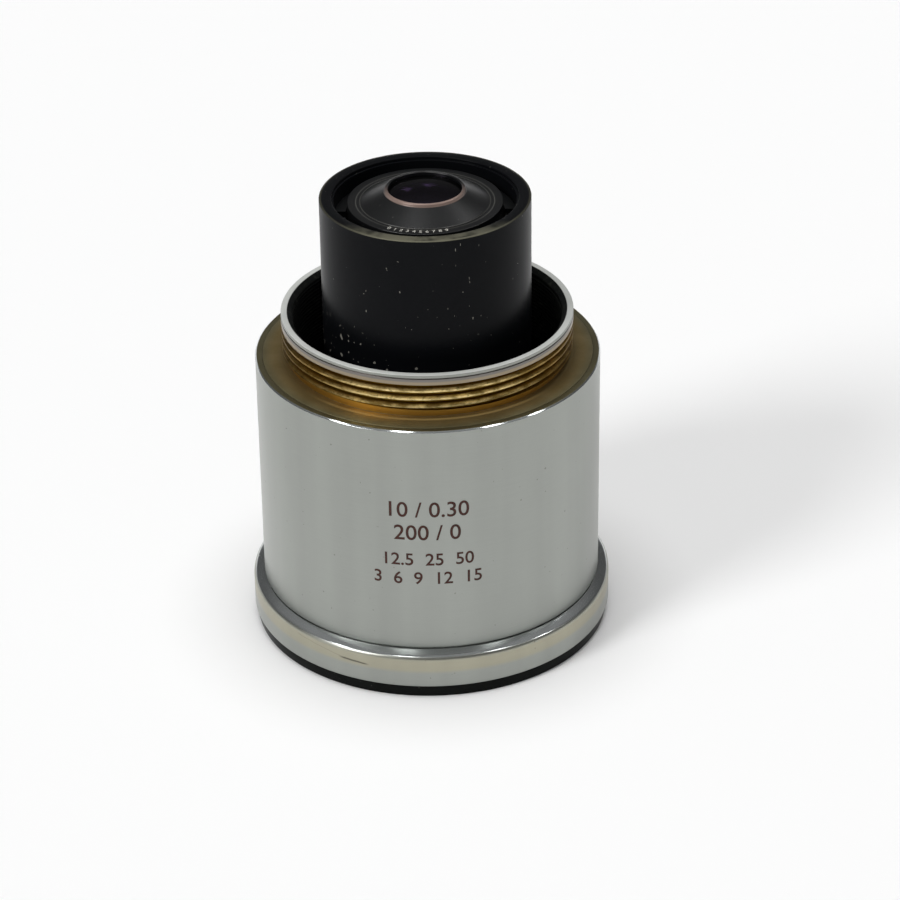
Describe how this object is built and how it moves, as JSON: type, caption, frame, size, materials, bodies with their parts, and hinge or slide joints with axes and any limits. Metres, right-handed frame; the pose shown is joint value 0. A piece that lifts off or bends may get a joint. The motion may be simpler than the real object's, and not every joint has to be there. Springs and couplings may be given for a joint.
{
  "type": "microscope objective",
  "caption": "Wide-barrelled microscope objective with a brass mounting thread, a black central lens tube and a ring condenser at the nose, standing nose down.",
  "frame": {"origin": "centre of the flat nose face, on the optical axis", "axes": "+Z along the optical axis from the nose up to the mounting thread and rear lens; the engraved numbers face -Y"},
  "size_m": [0.0328, 0.0328, 0.0423],
  "materials": {
    "bare_brass": "satin",
    "satin_chrome": "satin",
    "gloss_black": "gloss",
    "satin_black": "satin",
    "matt_black": "matte",
    "steel": "satin",
    "clear_glass": "polished",
    "coated_glass": "polished"
  },
  "bodies": {
    "root": {"mount_body": "bare_brass", "outer_barrel": "satin_chrome", "flange_ring": "satin_chrome", "front_bezel": "gloss_black", "ring_condenser": "clear_glass", "spider": "matt_black", "spider_nut": "matt_black", "lens_tube": "satin_black", "parfocal_shim": "steel", "tube_lock_ring": "matt_black", "nose_cell": "satin_black", "front_lens": "coated_glass", "front_lens_retainer": "matt_black", "middle_cell": "matt_black", "flint_lens": "clear_glass", "crown_lens": "clear_glass", "doublet_retainer": "matt_black", "front_spacer": "matt_black", "aperture_stop": "matt_black", "rear_spacer": "matt_black", "rear_cell": "satin_black", "rear_lens": "coated_glass", "rear_retainer": "satin_black"}
  },
  "joints": []
}
